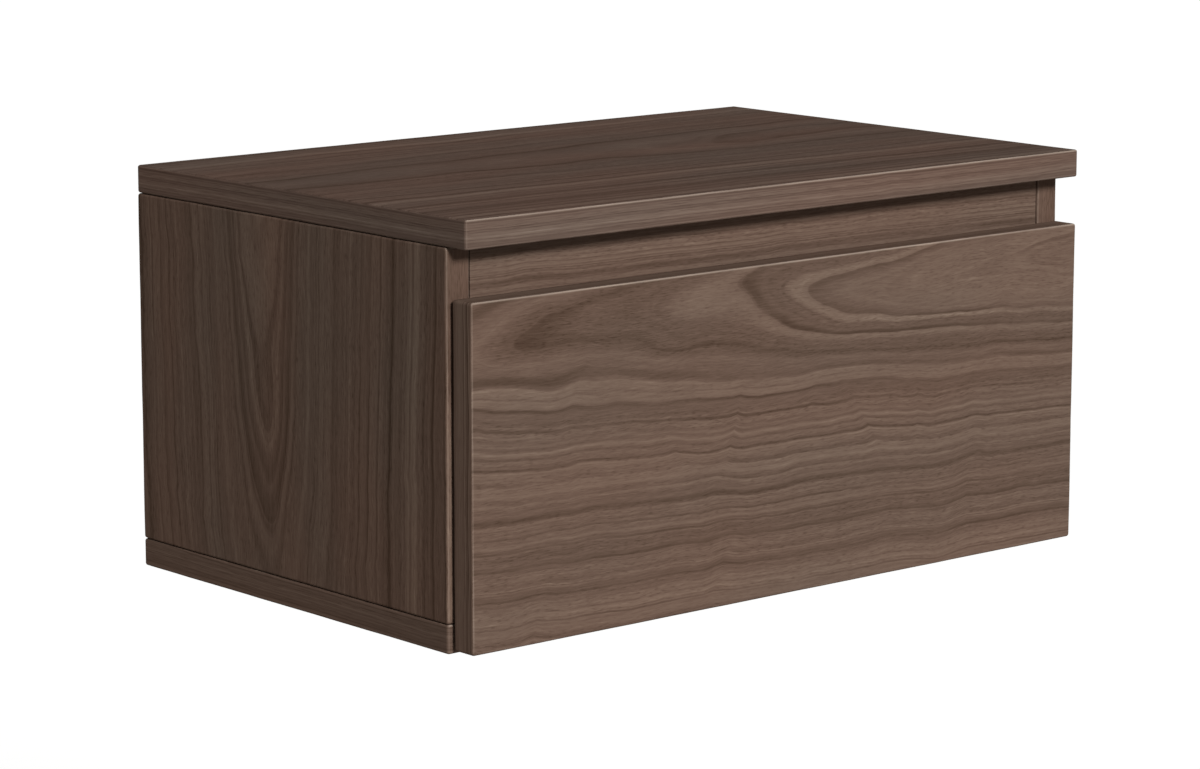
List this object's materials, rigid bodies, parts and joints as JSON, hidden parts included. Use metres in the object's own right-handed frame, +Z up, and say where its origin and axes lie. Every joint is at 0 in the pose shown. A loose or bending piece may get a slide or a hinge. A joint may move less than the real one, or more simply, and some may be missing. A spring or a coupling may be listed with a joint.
{
  "type": "floating nightstand",
  "caption": "Wall-hung walnut nightstand with a full-extension drawer on ball-bearing runners, an open finger recess over its front and a bevelled hanging cleat.",
  "frame": {"origin": "middle of the wall cleat's back face, on the wall plane, at the height of its screw holes", "axes": "+Z up, +Y into the wall, so the drawer opens along -Y; +X to the right of someone facing the drawer"},
  "size_m": [0.52, 0.3405, 0.264],
  "materials": {
    "walnut": "walnut veneer and lipping, matt lacquer, mid grey-brown",
    "birch": "pale birch, clear lacquer",
    "plywood": "birch plywood, bare, with striped edges",
    "beech": "bare fluted beech dowel",
    "runner_steel": "bright zinc-plated cold-rolled steel",
    "cage_steel": "pressed steel strip with polished steel balls",
    "cam_zinc": "die-cast zinc alloy, nickel plated",
    "screw_steel": "zinc-plated steel",
    "bumper_rubber": "soft pale polyurethane"
  },
  "bodies": {
    "case": {"top_panel": "walnut", "bottom_panel": "walnut", "left_side_panel": "walnut", "right_side_panel": "walnut", "front_rail": "walnut", "back_panel": "birch", "case_cleat": "plywood", "wall_cleat": "plywood", "dowel_top_left_front": "beech", "dowel_top_left_rear": "beech", "dowel_top_right_front": "beech", "dowel_top_right_rear": "beech", "dowel_bottom_left_front": "beech", "dowel_bottom_left_rear": "beech", "dowel_bottom_right_front": "beech", "dowel_bottom_right_rear": "beech", "cam_top_left": "cam_zinc", "cam_top_right": "cam_zinc", "cam_bottom_left": "cam_zinc", "cam_bottom_right": "cam_zinc", "cam_bolt_top_left": "screw_steel", "cam_bolt_top_right": "screw_steel", "cam_bolt_bottom_left": "screw_steel", "cam_bolt_bottom_right": "screw_steel", "rail_dowel_left": "beech", "rail_dowel_right": "beech", "cleat_dowel_left": "beech", "cleat_dowel_right": "beech", "cleat_screw_left": "screw_steel", "cleat_screw_right": "screw_steel", "left_runner_case_member": "runner_steel", "left_runner_case_screw_front": "screw_steel", "left_runner_case_screw_rear": "screw_steel", "right_runner_case_member": "runner_steel", "right_runner_case_screw_front": "screw_steel", "right_runner_case_screw_rear": "screw_steel"},
    "drawer": {"drawer_front": "walnut", "drawer_left_side": "birch", "drawer_right_side": "birch", "drawer_inner_front": "birch", "drawer_back": "birch", "drawer_bottom": "birch", "front_screw_left_lower": "screw_steel", "front_screw_left_upper": "screw_steel", "front_screw_right_lower": "screw_steel", "front_screw_right_upper": "screw_steel", "bumper_left": "bumper_rubber", "bumper_right": "bumper_rubber", "left_runner_drawer_member": "runner_steel", "left_runner_drawer_screw_front": "screw_steel", "left_runner_drawer_screw_rear": "screw_steel", "right_runner_drawer_member": "runner_steel", "right_runner_drawer_screw_front": "screw_steel", "right_runner_drawer_screw_rear": "screw_steel"},
    "left_middle_member": {"left_runner_middle_member": "runner_steel"},
    "left_outer_cage": {"left_runner_outer_cage": "cage_steel"},
    "left_inner_cage": {"left_runner_inner_cage": "cage_steel"},
    "right_middle_member": {"right_runner_middle_member": "runner_steel"},
    "right_outer_cage": {"right_runner_outer_cage": "cage_steel"},
    "right_inner_cage": {"right_runner_inner_cage": "cage_steel"}
  },
  "joints": [
    {"name": "drawer_slide", "type": "slide", "parent": "case", "child": "drawer", "axis": [0, -1, 0], "range_m": [0, 0.25]},
    {"name": "left_middle_slide", "type": "slide", "parent": "case", "child": "left_middle_member", "axis": [0, -1, 0], "range_m": [0, 0.125]},
    {"name": "left_outer_cage_slide", "type": "slide", "parent": "case", "child": "left_outer_cage", "axis": [0, -1, 0], "range_m": [0, 0.0625]},
    {"name": "left_inner_cage_slide", "type": "slide", "parent": "case", "child": "left_inner_cage", "axis": [0, -1, 0], "range_m": [0, 0.1875]},
    {"name": "right_middle_slide", "type": "slide", "parent": "case", "child": "right_middle_member", "axis": [0, -1, 0], "range_m": [0, 0.125]},
    {"name": "right_outer_cage_slide", "type": "slide", "parent": "case", "child": "right_outer_cage", "axis": [0, -1, 0], "range_m": [0, 0.0625]},
    {"name": "right_inner_cage_slide", "type": "slide", "parent": "case", "child": "right_inner_cage", "axis": [0, -1, 0], "range_m": [0, 0.1875]}
  ],
  "couplings": [
    {"joint": "left_middle_slide", "follows": "drawer_slide", "ratio": 0.5},
    {"joint": "left_outer_cage_slide", "follows": "drawer_slide", "ratio": 0.25},
    {"joint": "left_inner_cage_slide", "follows": "drawer_slide", "ratio": 0.75},
    {"joint": "right_middle_slide", "follows": "drawer_slide", "ratio": 0.5},
    {"joint": "right_outer_cage_slide", "follows": "drawer_slide", "ratio": 0.25},
    {"joint": "right_inner_cage_slide", "follows": "drawer_slide", "ratio": 0.75}
  ]
}
